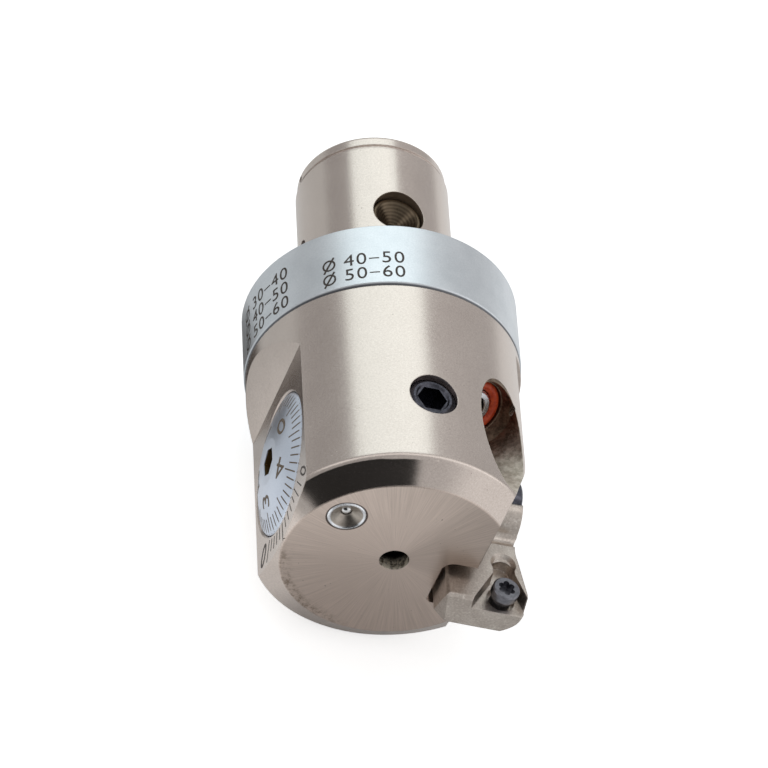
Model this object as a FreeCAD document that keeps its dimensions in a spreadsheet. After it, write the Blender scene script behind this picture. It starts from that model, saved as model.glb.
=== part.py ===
import FreeCAD, Part
import math
import os
import Sketcher
from FreeCAD import Placement, Rotation, Vector

# Micrometer boring head with a cylindrical quick-change shank.
# Frame: origin on the turning axis in the flange face, +Z towards the shank,
# +X the way the tool carrier moves out, -Y the side with the clamping screw.

doc = FreeCAD.newDocument("boring_head")
sheet = doc.addObject("Spreadsheet::Sheet", "sizes")

# ---------------------------------------------------------------- dimensions, mm
DIMENSIONS = {
    # shank and head body
    "shank_radius": 9.0,
    "shank_length": 19.0,
    "tip_radius": 8.75,
    "tip_length": 1.9,
    "tip_round": 0.5,
    "neck_radius": 8.55,
    "coolant_radius": 2.5,
    "flange_radius": 13.6,
    "body_radius": 15.7,
    "body_length": 36.0,
    "face_radius": 12.6,
    "nose_height": 1.9,
    "nose_round": 0.8,
    "ring_radius": 15.85,
    "ring_height": 9.0,
    # transverse slide
    "slide_depth": 24.9,
    "flat_offset": 12.9,
    "holder_flat": 12.8,
    "carrier_radius": 6.0,
    "carrier_left": 7.4,
    "carrier_right": 9.5,
    "thrust_radius": 6.5,
    "thrust_seat": 7.5,
    "spindle_radius": 2.5,
    "collar_radius": 4.0,
    "carrier_travel": 5.0,
    # dial
    "dial_radius": 8.1,
    "dial_rim": 12.85,
    "dial_back": 12.08,
    "hub_front": 14.2,
    "hub_radius": 2.7,
    "dial_key": 3.0,
    # clamping
    "clamp_radius": 2.75,
    "clamp_face": 15.2,
    "pad_radius": 2.3,
    "pad_seat": 5.6,
    # coolant scoop
    "scoop_radius": 4.0,
    "scoop_azimuth": 41.0,
    "scoop_tilt": 31.8,
    # driver pin
    "pin_height": 8.8,
    "pin_radius": 3.05,
    # insert holder
    "holder_width": 4.55,
    "foot_left": 6.05,
    "foot_bottom": 39.5,
    "leg_face": 15.0,
    "leg_half": 3.425,
    "seat_depth": 1.6,
    "running_gap": 0.03,
    # springs
    "preload_wire": 0.25,
    "oiler_wire": 0.09,
}


class Size:
    """A length that knows its number and the spreadsheet expression behind it."""

    def __init__(self, value, text):
        self.value = value
        self.text = text

    def join(self, other, sign, value):
        return Size(value, "(%s %s %s)" % (self.text, sign, as_size(other).text))

    def __add__(self, other):
        return self.join(other, "+", self.value + as_size(other).value)

    def __sub__(self, other):
        return self.join(other, "-", self.value - as_size(other).value)

    def __mul__(self, other):
        return self.join(other, "*", self.value * as_size(other).value)

    def __truediv__(self, other):
        return self.join(other, "/", self.value / as_size(other).value)

    def __neg__(self):
        return Size(-self.value, "(0 - %s)" % self.text)


def as_size(number):
    return number if isinstance(number, Size) else Size(float(number), "%.6g" % number)


size = {}
for row, (alias, number) in enumerate(DIMENSIONS.items(), start=1):
    sheet.set("A%d" % row, alias)
    sheet.set("B%d" % row, str(number))
    sheet.setAlias("B%d" % row, alias)
    size[alias] = Size(number, "sizes.%s" % alias)
doc.recompute()

# ---------------------------------------------------------------- derived places
gap = size["running_gap"]
slide_z = -size["slide_depth"]
face_z = -size["body_length"]
slide_centre = Vector(0, 0, slide_z.value)
flat_x = size["flat_offset"]
shank_top = size["shank_length"] + size["tip_length"]
scoop_yaw = math.radians(size["scoop_azimuth"].value)
scoop_pitch = math.radians(size["scoop_tilt"].value)
scoop_axis = Vector(
    math.sin(scoop_pitch) * math.sin(scoop_yaw),
    -math.sin(scoop_pitch) * math.cos(scoop_yaw),
    -math.cos(scoop_pitch),
)
scoop_mouth = Vector(9.33, -12.48, -26.0)
scoop_turn = Rotation(Vector(0, 0, 1), scoop_axis)
insert_screw_place = Vector(12.93, 0, -37.6)
cut_all = 60.0
sub_parts = []


# ---------------------------------------------------------------- sketch helpers
def new_body(name, base=None, turn=None):
    body = doc.addObject("PartDesign::Body", name)
    body.Label = name
    body.Placement = Placement(base or Vector(), turn or Rotation())
    sub_parts.append(body)
    return body


def plane_of(body, role):
    for feature in body.Origin.OriginFeatures:
        if feature.Role == role:
            return feature
    raise RuntimeError(role)


def new_sketch(body, name, role, offset=0.0):
    """A sketch on an origin plane of its own body, moved along the plane's normal."""
    sketch = body.newObject("Sketcher::SketchObject", name)
    sketch.AttachmentSupport = [(plane_of(body, role), "")]
    sketch.MapMode = "FlatFace"
    shift = as_size(offset)
    sketch.AttachmentOffset = Placement(Vector(0, 0, shift.value), Rotation())
    sketch.setExpression("AttachmentOffset.Base.z", shift.text)
    return sketch


def bind(sketch, constraint, amount):
    index = sketch.addConstraint(constraint)
    sketch.setExpression("Constraints[%d]" % index, amount.text)


def pin(sketch, geometry, vertex, x, y):
    """Tie a point of the sketch to its two coordinates."""
    x = as_size(x)
    y = as_size(y)
    bind(sketch, Sketcher.Constraint("DistanceX", -1, 1, geometry, vertex, x.value), x)
    bind(sketch, Sketcher.Constraint("DistanceY", -1, 1, geometry, vertex, y.value), y)


def outline(sketch, corners):
    """Closed outline through the corners. A corner with a third entry starts an arc
    to the next corner, and that entry is a point the arc passes through."""
    count = len(corners)
    points = [Vector(as_size(c[0]).value, as_size(c[1]).value, 0) for c in corners]
    first = sketch.GeometryCount
    for i, corner in enumerate(corners):
        end = points[(i + 1) % count]
        if len(corner) > 2:
            middle = Vector(corner[2][0], corner[2][1], 0)
            arc = Part.Arc(points[i], middle, end).toShape().Curve
            sketch.addGeometry(arc_between(arc, points[i], middle, end))
            hold_centre(sketch, first + i, end - points[i])
        else:
            sketch.addGeometry(Part.LineSegment(points[i], end))
    for i in range(count):
        pin(sketch, first + i, start_vertex(sketch, first + i, points[i]), *corners[i][:2])
    for i in range(count):
        here = first + i
        after = first + (i + 1) % count
        leave = 3 - start_vertex(sketch, here, points[i])
        enter = start_vertex(sketch, after, points[(i + 1) % count])
        sketch.addConstraint(Sketcher.Constraint("Coincident", here, leave, after, enter))


def hold_centre(sketch, index, chord):
    """An arc with fixed ends has one freedom left: its centre's way across the chord."""
    centre = sketch.getPoint(index, 3)
    kind, place = ("DistanceX", centre.x)
    if abs(chord.x) > abs(chord.y):
        kind, place = ("DistanceY", centre.y)
    bind(sketch, Sketcher.Constraint(kind, -1, 1, index, 3, place), as_size(place))


def rounded(before, corner, after, radius):
    """The two outline entries that round a corner off with a tangent arc."""
    place = Vector(as_size(corner[0]).value, as_size(corner[1]).value, 0)
    ways = []
    for other in (before, after):
        way = Vector(as_size(other[0]).value, as_size(other[1]).value, 0) - place
        ways.append(way.normalize())
    half = ways[0].getAngle(ways[1]) / 2
    inward = (ways[0] + ways[1]).normalize()
    middle = place + inward * (radius / math.sin(half) - radius)
    start = place + ways[0] * (radius / math.tan(half))
    end = place + ways[1] * (radius / math.tan(half))
    return [(start.x, start.y, (middle.x, middle.y)), (end.x, end.y)]


def arc_between(circle, start, middle, end):
    """Sketcher arcs run anticlockwise, so the ends swap where the outline turns back."""
    turn = (middle - start).cross(end - middle).z
    centre = circle.Center
    flat = Part.Circle(centre, Vector(0, 0, 1), circle.Radius)
    ends = (start, end) if turn > 0 else (end, start)
    angles = [math.atan2(p.y - centre.y, p.x - centre.x) for p in ends]
    return Part.ArcOfCircle(flat, angles[0], angles[1])


def start_vertex(sketch, geometry, point):
    """1 or 2: the end of this edge that lies at the point."""
    first = sketch.getPoint(geometry, 1)
    second = sketch.getPoint(geometry, 2)
    return 1 if first.distanceToPoint(point) <= second.distanceToPoint(point) else 2


def circle(sketch, x, y, radius):
    x = as_size(x)
    y = as_size(y)
    radius = as_size(radius)
    shape = Part.Circle(Vector(x.value, y.value, 0), Vector(0, 0, 1), radius.value)
    index = sketch.addGeometry(shape)
    pin(sketch, index, 3, x, y)
    bind(sketch, Sketcher.Constraint("Radius", index, radius.value), radius)


def hexagon(sketch, flats):
    """Outline of a key socket, measured across its flats."""
    reach = as_size(flats) * (0.5 / math.cos(math.pi / 6))
    angles = [math.pi / 3 * i for i in range(6)]
    outline(sketch, [(reach * math.cos(a), reach * math.sin(a)) for a in angles])


# ---------------------------------------------------------------- feature helpers
def volume_of(body):
    doc.recompute()
    return body.Shape.Volume


def revolve(body, sketch, axis="V_Axis"):
    feature = body.newObject("PartDesign::Revolution", sketch.Name + "_turned")
    feature.Profile = sketch
    feature.ReferenceAxis = (sketch, [axis])
    feature.Angle = 360.0
    feature.Refine = False
    doc.recompute()
    return feature


def turned(name, corners, base=None, turn=None):
    """A turned piece: outline in (radius, height), revolved about its own Z axis."""
    body = new_body(name, base, turn)
    sketch = new_sketch(body, name + "_profile", "XZ_Plane")
    outline(sketch, corners)
    revolve(body, sketch)
    return body


def pad(body, sketch, length, backwards=False):
    feature = body.newObject("PartDesign::Pad", sketch.Name + "_pad")
    feature.Profile = sketch
    feature.Length = as_size(length).value
    feature.setExpression("Length", as_size(length).text)
    feature.Reversed = backwards
    doc.recompute()
    return feature


def pocket(body, sketch, length=cut_all, forwards=False, both=False, taper=0.0):
    """Cut against the sketch's normal, or along it when forwards is set."""
    before = volume_of(body)
    feature = body.newObject("PartDesign::Pocket", sketch.Name + "_cut")
    feature.Profile = sketch
    feature.Length = as_size(length).value
    feature.setExpression("Length", as_size(length).text)
    feature.Reversed = forwards
    if both:
        feature.SideType = "Symmetric"
    feature.TaperAngle = taper
    feature.Refine = False
    if volume_of(body) >= before - 1e-6:
        raise RuntimeError("%s cuts nothing" % sketch.Name)
    return feature


def drill(body, name, role, offset, x, y, radius, length=cut_all, forwards=False):
    sketch = new_sketch(body, name, role, offset)
    circle(sketch, x, y, radius)
    return pocket(body, sketch, length, forwards)


def drill_towards(body, name, start, way, radius, length, flare=0.0):
    """Round cut from a point in any direction; flare is the slope of its wall."""
    sketch = new_sketch(body, name, "XY_Plane")
    sketch.setExpression("AttachmentOffset.Base.z", None)
    sketch.AttachmentOffset = Placement(start, Rotation(Vector(0, 0, 1), way))
    circle(sketch, 0, 0, radius)
    return pocket(body, sketch, length, forwards=True, taper=flare)


def key_socket(body, name, offset, flats, depth):
    """Hexagonal socket sunk from the top of a turned piece."""
    sketch = new_sketch(body, name, "XY_Plane", offset)
    hexagon(sketch, flats)
    return pocket(body, sketch, depth)


def o_ring(name, ring_radius, cord_radius, centre, turn):
    ring = doc.addObject("Part::Torus", name)
    ring.Label = name
    ring.Radius1 = ring_radius
    ring.Radius2 = cord_radius
    ring.Placement = Placement(centre, turn)
    sub_parts.append(ring)
    return ring


def coil_spring(name, coil_radius, wire_radius, length, turns, centre, turn):
    """Open coil spring about its own Z axis from z = 0, lofted through eight-sided
    sections of the wire that have the round wire's area."""
    sides = 8
    steps = round(turns * 16)
    reach = wire_radius * math.sqrt(2 * math.pi / sides / math.sin(2 * math.pi / sides))
    sections = []
    for i in range(steps + 1):
        angle = 2 * math.pi * turns * i / steps
        out = Vector(math.cos(angle), math.sin(angle), 0)
        middle = out * coil_radius + Vector(0, 0, length * i / steps)
        corners = []
        for k in range(sides + 1):
            lean = 2 * math.pi * (k + 0.5) / sides
            rise = Vector(0, 0, reach * math.sin(lean))
            corners.append(middle + out * (reach * math.cos(lean)) + rise)
        sections.append(Part.makePolygon(corners))
    spring = doc.addObject("Part::Feature", name)
    spring.Label = name
    spring.Shape = Part.makeLoft(sections, True, True)
    spring.Placement = Placement(centre, turn)
    sub_parts.append(spring)
    return spring


to_minus_y = Rotation(Vector(1, 0, 0), 90)
to_plus_x = Rotation(Vector(0, 1, 0), 90)
to_minus_x = Rotation(Vector(0, 1, 0), -90)


# ---------------------------------------------------------------- head body
def head_body():
    """Shank, flange and body in one piece of steel, with every bore cut in it."""
    corner = 0.25
    groove_end = -(size["ring_height"] + 0.2)
    nose_z = face_z + size["nose_height"]
    body = new_body("head_body")
    side = (size["body_radius"], groove_end)
    face_rim = (size["face_radius"], face_z)
    nose = rounded(side, (size["body_radius"], nose_z), face_rim, size["nose_round"].value)
    tip_side = (size["tip_radius"], size["shank_length"] + 0.5)
    bore_rim = (size["coolant_radius"] + 0.6, shank_top)
    tip = rounded(bore_rim, (size["tip_radius"], shank_top), tip_side, size["tip_round"].value)
    sketch = new_sketch(body, "head_profile", "XZ_Plane")
    outline(sketch, [
        (0.0, -5.2),
        (size["coolant_radius"], -3.8),
        (size["coolant_radius"], shank_top - 0.6),
        bore_rim,
        tip[0],
        tip[1],
        tip_side,
        (size["neck_radius"], size["shank_length"] + 0.4),
        (size["neck_radius"], size["shank_length"]),
        (size["shank_radius"], size["shank_length"] - corner),
        (size["shank_radius"], 5.4),
        (size["shank_radius"], 0.0),
        (size["flange_radius"] - corner, 0.0),
        (size["flange_radius"], -corner),
        (size["flange_radius"], groove_end),
        side,
        nose[0],
        nose[1],
        face_rim,
        (0.0, face_z),
    ])
    revolve(body, sketch)
    side_flats(body)
    slide_bores(body)
    holder_seat(body)
    clamp_bores(body)
    face_holes(body)
    coolant_scoop(body)
    shank_holes(body)


def side_flats(body):
    """The dial flat runs out at a slope; the holder flat ends square and is bevelled
    towards the front face."""
    outer = size["body_radius"] + 2
    below = face_z - 2
    rise = 1.45
    dial_top = -14.7
    sketch = new_sketch(body, "dial_flat", "XZ_Plane")
    outline(sketch, [
        (-flat_x, below),
        (-flat_x, dial_top),
        (-outer, (outer - flat_x) * rise + dial_top),
        (-outer, below),
    ])
    pocket(body, sketch, both=True)
    flat = size["holder_flat"]
    flat_top = -10.5
    bevel_end = size["carrier_right"] - 0.1
    sketch = new_sketch(body, "holder_flat", "XZ_Plane")
    outline(sketch, [
        (flat, flat_top),
        (flat, -26.0, (12.711, -27.42)),
        (12.35, -28.8),
        (bevel_end, face_z),
        (bevel_end, below),
        (outer, below),
        (outer, flat_top),
    ])
    pocket(body, sketch, both=True)


def slide_bores(body):
    """Carrier bore, thrust bearing counterbore, dial recess and its seal groove."""
    seat = -size["thrust_seat"]
    drill(body, "carrier_bore", "YZ_Plane", seat, 0, slide_z, size["carrier_radius"], forwards=True)
    drill(body, "thrust_bore", "YZ_Plane", seat, 0, slide_z, size["thrust_radius"])
    recess = size["dial_radius"] + 0.1
    drill(body, "dial_recess", "YZ_Plane", -12.0, 0, slide_z, recess)
    sketch = new_sketch(body, "dial_recess_rim", "YZ_Plane", -12.7)
    circle(sketch, 0, slide_z, recess)
    pocket(body, sketch, 0.25, taper=45.0)
    sketch = new_sketch(body, "dial_seal_groove", "YZ_Plane", -12.0)
    circle(sketch, 0, slide_z, 7.77)
    circle(sketch, 0, slide_z, 6.93)
    pocket(body, sketch, 0.72, forwards=True)


def holder_seat(body):
    """Channel for the holder's leg and, below it, the pocket for its foot."""
    wall = 0.1
    centre_y = size["holder_width"] - size["leg_half"]
    left = centre_y - size["leg_half"] - wall
    right = centre_y + size["leg_half"] + wall
    top = -21.0
    channel_x = size["carrier_right"] - 0.1
    sketch = new_sketch(body, "leg_channel", "YZ_Plane", channel_x)
    outline(sketch, [
        (left, face_z - 2),
        (right, face_z - 2),
        (right, top),
        (left, top),
    ])
    pocket(body, sketch, forwards=True)
    round_end = size["leg_half"] + wall
    drill(body, "channel_end", "YZ_Plane", channel_x, centre_y, top, round_end, forwards=True)
    pocket_left = 5.6
    pocket_front = -1.1
    pocket_back = 5.95
    sketch = new_sketch(body, "foot_pocket", "XY_Plane", -32.6)
    outline(sketch, [
        (pocket_left, 0.2, (5.98, -0.72)),
        (6.9, pocket_front),
        (cut_all / 2, pocket_front),
        (cut_all / 2, pocket_back),
        (6.3, pocket_back, (5.805, 5.745)),
        (pocket_left, 5.25),
    ])
    pocket(body, sketch)


def clamp_bores(body):
    """Tapped hole of the clamping screw and the bore of the pad in front of it."""
    thread = size["clamp_radius"] + 0.02
    drill(body, "clamp_thread", "XZ_Plane", 8.0, 0, slide_z, thread, forwards=True)
    drill(body, "pad_bore", "XZ_Plane", 0.0, 0, slide_z, size["pad_radius"], 8.5, True)


def face_holes(body):
    """Guide pin hole in the middle of the front face, oiler hole and oil duct."""
    drill(body, "guide_pin_hole", "XY_Plane", face_z, 0, 0, 1.67, 6.5, True)
    drill(body, "oiler_hole", "XY_Plane", face_z, -7.4, -5.85, 2.2, 4.0, True)
    drill(body, "oil_duct", "XY_Plane", face_z, -7.4, -5.85, 0.6, 11.0, True)


def coolant_scoop(body):
    """Slanted round cut with the stepped seat of the nozzle and the duct behind it.
    Each step is a start along the scoop's axis, a radius, a length and a flare."""
    steps = (
        ("scoop", -5.1, size["scoop_radius"], 30.0, 0.0),
        ("scoop_foot", -6.6, 3.45, 1.5, 20.0),
        ("seal_seat", -7.8, 3.33, 1.6, 0.0),
        ("nozzle_thread", -12.0, 1.97, 5.0, 0.0),
        ("coolant_duct", -27.0, 1.25, 16.0, 0.0),
    )
    for name, start, radius, length, flare in steps:
        drill_towards(body, name, scoop_mouth + scoop_axis * start, scoop_axis, radius, length, flare)
    wall_hole = Vector(10.95, -11.2, -20.2)
    drill_towards(body, "wall_hole", wall_hole, Vector(0.35, 0.94, 0), 0.33, 2.0)


def shank_holes(body):
    """Through hole of the driver pin, its retaining screw and the index notch."""
    height = size["pin_height"]
    sketch = new_sketch(body, "driver_pin_hole", "XZ_Plane")
    circle(sketch, 0, height, size["pin_radius"])
    pocket(body, sketch, both=True)
    drill(body, "pin_screw_hole", "YZ_Plane", 0.0, 0, height, 1.0)
    drill(body, "index_notch", "YZ_Plane", -8.4, 0, shank_top - 0.9, 0.35)


# ---------------------------------------------------------------- pieces of the head
def marking_ring():
    bottom = -size["ring_height"] - 0.1
    bevel = 0.3
    inner = size["flange_radius"] + 0.02
    turned("marking_ring", [
        (inner, bottom),
        (size["ring_radius"] - bevel, bottom),
        (size["ring_radius"], bottom + bevel),
        (size["ring_radius"], -0.25),
        (size["ring_radius"] - 0.15, -0.1),
        (inner, -0.1),
    ])


def dial():
    """Domed scale disc; its hub has the key hole and, behind, the spindle's seat."""
    edge = 0.15
    rim = size["dial_radius"]
    body = turned("dial", [
        (0.0, 13.3),
        (size["spindle_radius"] + 0.05, 13.3),
        (size["spindle_radius"] + 0.05, size["dial_back"]),
        (rim, size["dial_back"]),
        (rim, size["dial_rim"] - edge),
        (rim - edge, size["dial_rim"], (5.3, 13.74)),
        (size["hub_radius"], size["hub_front"]),
        (0.0, size["hub_front"]),
    ], slide_centre, to_minus_x)
    key_socket(body, "key_hole", size["hub_front"], size["dial_key"], 2.0)


def dial_spindle():
    """Micrometer screw: key socket, journal, thrust collar and fine thread."""
    thread = size["spindle_radius"]
    body = turned("dial_spindle", [
        (0.0, -4.4),
        (thread - 0.5, -4.4),
        (thread, -3.9),
        (thread, 9.45),
        (size["collar_radius"], 9.45),
        (size["collar_radius"], 10.4),
        (thread, 10.4),
        (thread, 13.05),
        (thread - 0.2, 13.25),
        (0.0, 13.25),
    ], slide_centre, to_minus_x)
    key_socket(body, "spindle_socket", 13.25, size["dial_key"], 2.4)


def spindle_nut():
    """Threaded ring that holds the spindle's collar in, with two spanner holes."""
    outer = size["thrust_radius"] - 0.04
    body = turned("spindle_nut", [
        (size["spindle_radius"] + 0.06, 10.45),
        (outer, 10.45),
        (outer, 11.75),
        (outer - 0.15, 11.9),
        (size["spindle_radius"] + 0.06, 11.9),
    ], slide_centre, to_minus_x)
    for side in (-1, 1):
        drill(body, "spanner_hole_%d" % (side + 1), "XY_Plane", 11.9, 4.6 * side, 0, 0.55, 0.9)


def thrust_pieces():
    """Bearing washer behind the collar and the plate that it runs against."""
    turned("thrust_washer", [
        (size["spindle_radius"] + 0.1, 8.92),
        (5.5, 8.92),
        (5.5, 9.42),
        (size["spindle_radius"] + 0.1, 9.42),
    ], slide_centre, to_minus_x)
    outer = size["thrust_radius"] - 0.04
    turned("thrust_plate", [
        (size["spindle_radius"] + 0.05, size["thrust_seat"]),
        (outer - 0.2, size["thrust_seat"]),
        (outer, size["thrust_seat"] + 0.2),
        (outer, 8.9),
        (size["spindle_radius"] + 0.05, 8.9),
    ], slide_centre, to_minus_x)


def guide_pin():
    """Dowel in the front face that keeps the carrier from turning."""
    turned("guide_pin", [
        (0.0, -29.5),
        (1.4, -29.5),
        (1.65, -29.75),
        (1.65, -32.5),
        (1.35, -32.8),
        (0.0, -32.8),
    ])


def oiler():
    """Funnel nipple with a sprung ball that shuts the oil duct."""
    centre = Vector(-7.4, -5.85, 0)
    turned("oiler_body", [
        (0.4, -32.05),
        (2.18, -32.05),
        (2.18, -35.95),
        (2.02, -36.12),
        (1.8, -36.0),
        (0.62, -35.3),
        (0.62, -35.15),
        (1.0, -35.15),
        (1.0, -32.5),
        (0.4, -32.5),
    ], centre)
    ball = doc.addObject("Part::Sphere", "oiler_ball")
    ball.Label = "oiler_ball"
    ball.Radius = 0.85
    ball.Placement = Placement(centre + Vector(0, 0, -34.54), Rotation())
    sub_parts.append(ball)
    spring_start = centre + Vector(0, 0, -33.5)
    coil_spring("oiler_spring", 0.5, size["oiler_wire"].value, 0.9, 3, spring_start, Rotation())


def clamp():
    """Socket set screw on the -Y side and the brass pad that it drives."""
    radius = size["clamp_radius"] - 0.01
    face = size["clamp_face"]
    body = turned("clamp_screw", [
        (0.0, 8.2),
        (radius - 0.5, 8.2),
        (radius, 8.7),
        (radius, face - 0.45),
        (radius - 0.55, face),
        (1.95, face),
        (1.75, face - 0.25),
        (0.0, face - 0.25),
    ], slide_centre, to_minus_y)
    key_socket(body, "clamp_socket", face - 0.25, 3.0, 3.0)
    pad_face = size["pad_seat"] + 0.02
    turned("clamp_pad", [
        (0.0, pad_face),
        (size["pad_radius"] - 0.25, pad_face),
        (size["pad_radius"] - 0.05, pad_face + 0.2),
        (size["pad_radius"] - 0.05, 8.2),
        (0.0, 8.2),
    ], slide_centre, to_minus_y)


def driver_pin():
    """Floating pin of the shank: coned end towards -Y, waist at its retaining screw."""
    radius = size["pin_radius"] - 0.05
    coned_end = 7.9
    cone_foot = 6.0
    turned("driver_pin", [
        (0.0, -8.3),
        (radius - 0.9, -8.3),
        (radius, -7.4),
        (radius, -1.45),
        (1.9, -1.45),
        (1.9, 1.45),
        (radius, 1.45),
        (radius, coned_end - 0.2),
        (radius - 0.2, coned_end),
        (2.5, coned_end),
        (0.6, cone_foot),
        (0.6, cone_foot - 0.5),
        (0.0, cone_foot - 0.5),
    ], Vector(0, 0, size["pin_height"].value), to_minus_y)
    body = turned("pin_screw", [
        (0.0, 2.3),
        (0.75, 2.3),
        (0.97, 2.5),
        (0.97, 8.6),
        (0.0, 8.6),
    ], Vector(0, 0, size["pin_height"].value), to_minus_x)
    key_socket(body, "pin_screw_socket", 8.6, 0.9, 1.0)


def nozzle():
    """Screwed coolant nozzle in the scoop, sealed by an O-ring round its head."""
    body = turned("coolant_nozzle", [
        (0.6, -11.6),
        (1.7, -11.6),
        (1.95, -11.3),
        (1.95, -7.8),
        (2.1, -7.8),
        (2.1, -6.95),
        (1.85, -6.7),
        (1.35, -6.7),
        (1.1, -7.05),
        (0.6, -7.05),
    ], scoop_mouth, scoop_turn)
    key_socket(body, "nozzle_socket", -7.05, 2.0, 1.8)
    ring_centre = scoop_mouth + scoop_axis * -7.2
    o_ring("nozzle_o_ring", 2.75, 0.55, ring_centre, scoop_turn)


# ---------------------------------------------------------------- carrier and holder
def tool_carrier():
    """Round slide: spring chamber and nut thread on the dial side, guide slot below,
    clamping flat, seal groove, and a grooved end face for the insert holder."""
    radius = size["carrier_radius"] - gap
    left = -size["carrier_left"]
    right = size["carrier_right"]
    seal = 3.6
    body = turned("tool_carrier", [
        (0.0, 4.8),
        (size["spindle_radius"] + gap, 4.8),
        (size["spindle_radius"] + gap, -2.8),
        (3.9, -2.8),
        (3.9, left),
        (radius - 0.3, left),
        (radius, left + 0.3),
        (radius, seal - 0.5),
        (5.05, seal - 0.5),
        (5.05, seal + 0.5),
        (radius, seal + 0.5),
        (radius, right - 0.4),
        (radius - 0.4, right),
        (0.0, right),
    ], slide_centre, to_plus_x)
    clamp_y = -size["pad_seat"]
    travel = size["carrier_travel"]
    reach = size["pad_radius"] + 0.3
    sketch = new_sketch(body, "clamp_flat", "YZ_Plane")
    outline(sketch, [
        (clamp_y, left - 1),
        (clamp_y, reach),
        (clamp_y - 2, reach),
        (clamp_y - 2, left - 1),
    ])
    pocket(body, sketch, both=True)
    sketch = new_sketch(body, "guide_slot", "YZ_Plane", 4.4)
    outline(sketch, [
        (-1.72, left - travel),
        (1.72, left - travel),
        (1.72, 1.8),
        (-1.72, 1.8),
    ])
    pocket(body, sketch, forwards=True)
    sketch = new_sketch(body, "end_groove", "YZ_Plane")
    outline(sketch, [
        (-2.0, right - 0.8),
        (2.0, right - 0.8),
        (2.0, right + 1),
        (-2.0, right + 1),
    ])
    pocket(body, sketch, both=True)
    drill(body, "holder_thread", "XY_Plane", right, 0, 0, 1.5, 3.9)
    o_ring("carrier_o_ring", 5.52, 0.44, slide_centre + Vector(seal, 0, 0), to_plus_x)
    spring_start = slide_centre + Vector(-7.2, 0, 0)
    wire = size["preload_wire"].value
    coil_spring("preload_spring", 3.3, wire, 4.1, 4.5, spring_start, to_plus_x)


def insert_holder():
    """Leg on the carrier's end, gullet, and foot with the triangular insert seat."""
    body = new_body("insert_holder")
    width = size["holder_width"]
    leg = size["leg_face"]
    inner = size["carrier_right"]
    sketch = new_sketch(body, "holder_outline", "XZ_Plane")
    foot = -size["foot_bottom"]
    outline(sketch, [
        (size["foot_left"], -33.0),
        (size["foot_left"], foot),
        (15.0, foot - 0.2, (15.41, -39.52)),
        (15.55, foot + 0.4),
        (15.55, -37.6),
        (14.7, -33.0, (14.48, -31.3)),
        (leg, -29.3),
        (leg, -21.0),
        (inner, -21.0),
        (inner, -33.0),
    ])
    pad(body, sketch, width, backwards=True)
    leg_front(body, leg, inner)
    seat_the_insert(body)
    screw_hole(body, leg)
    trim_corner(body)
    bevel_foot(body)


def leg_front(body, leg, inner):
    """The leg is wider than the foot and rounded at the top; below it a gullet is
    scooped across, and behind it a tongue fits the carrier's end groove."""
    half = size["leg_half"]
    centre_y = size["holder_width"] - half
    thick = leg - inner
    sketch = new_sketch(body, "leg_top", "YZ_Plane", inner)
    outline(sketch, [
        (centre_y - half, -29.0),
        (centre_y + half, -29.0),
        (centre_y + half, -21.0, (1.125, -17.575)),
        (centre_y - half, -21.0),
    ])
    pad(body, sketch, thick)
    sketch = new_sketch(body, "gullet", "YZ_Plane")
    outline(sketch, [
        (-6.0, -31.0),
        (0.0, -31.0, (0.75, -30.0)),
        (-0.1, -28.95, (-1.55, -28.05)),
        (-2.3, -26.0),
        (-6.0, -26.0),
    ])
    pocket(body, sketch, cut_all, forwards=True)
    sketch = new_sketch(body, "tongue", "YZ_Plane", inner)
    outline(sketch, [
        (-1.97, -29.6),
        (1.97, -29.6),
        (1.97, -20.2),
        (-1.97, -20.2),
    ])
    pad(body, sketch, 0.77, backwards=True)


def seat_the_insert(body):
    """Three-sided seat with sloping walls, open at the bottom, a relieved apex and
    the threaded hole of the insert screw."""
    top_left = (12.16, -34.4)
    top_right = (14.0, -34.4)
    reach = 6.4
    left = math.radians(58.4)
    right = math.radians(67.4)
    sketch = new_sketch(body, "insert_seat", "XZ_Plane")
    outline(sketch, [
        top_left,
        (top_left[0] - math.cos(left) * reach, top_left[1] - math.sin(left) * reach),
        (top_right[0] + math.cos(right) * reach, top_right[1] - math.sin(right) * reach),
        top_right,
    ])
    pocket(body, sketch, size["seat_depth"], taper=-11.0)
    relief_x = 12.95
    relief_depth = size["seat_depth"] + 0.3
    for name, relief_z in (("apex_relief", -34.35), ("apex_slot", -34.9)):
        drill(body, name, "XZ_Plane", 0, relief_x, relief_z, 1.3, relief_depth)
    sketch = new_sketch(body, "relief_mouth", "XZ_Plane")
    circle(sketch, relief_x, -33.75, 1.5)
    pocket(body, sketch, 0.5, taper=-40.0)
    floor = -size["seat_depth"]
    screw_x, screw_z = insert_screw_place.x, insert_screw_place.z
    drill(body, "insert_thread", "XZ_Plane", floor, screw_x, screw_z, 1.22)
    drill(body, "insert_sink", "XZ_Plane", floor, screw_x, screw_z, 1.6, 0.8)


def screw_hole(body, leg):
    """Counterbore and clearance hole of the holder screw."""
    drill(body, "holder_sink", "YZ_Plane", leg, 0, slide_z, 2.85, leg - 11.9)
    drill(body, "holder_clearance", "YZ_Plane", leg, 0, slide_z, 1.6)


def trim_corner(body):
    """Back corner turned down so that the foot stays inside the smallest bore."""
    width = size["holder_width"]
    sketch = new_sketch(body, "back_corner", "XY_Plane", -12.0)
    outline(sketch, [
        (15.6, 0.6, (15.13, 2.9)),
        (13.6, width + 0.05),
        (13.6, width + 3),
        (19.0, width + 3),
        (19.0, 0.6),
    ])
    pocket(body, sketch)


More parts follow.
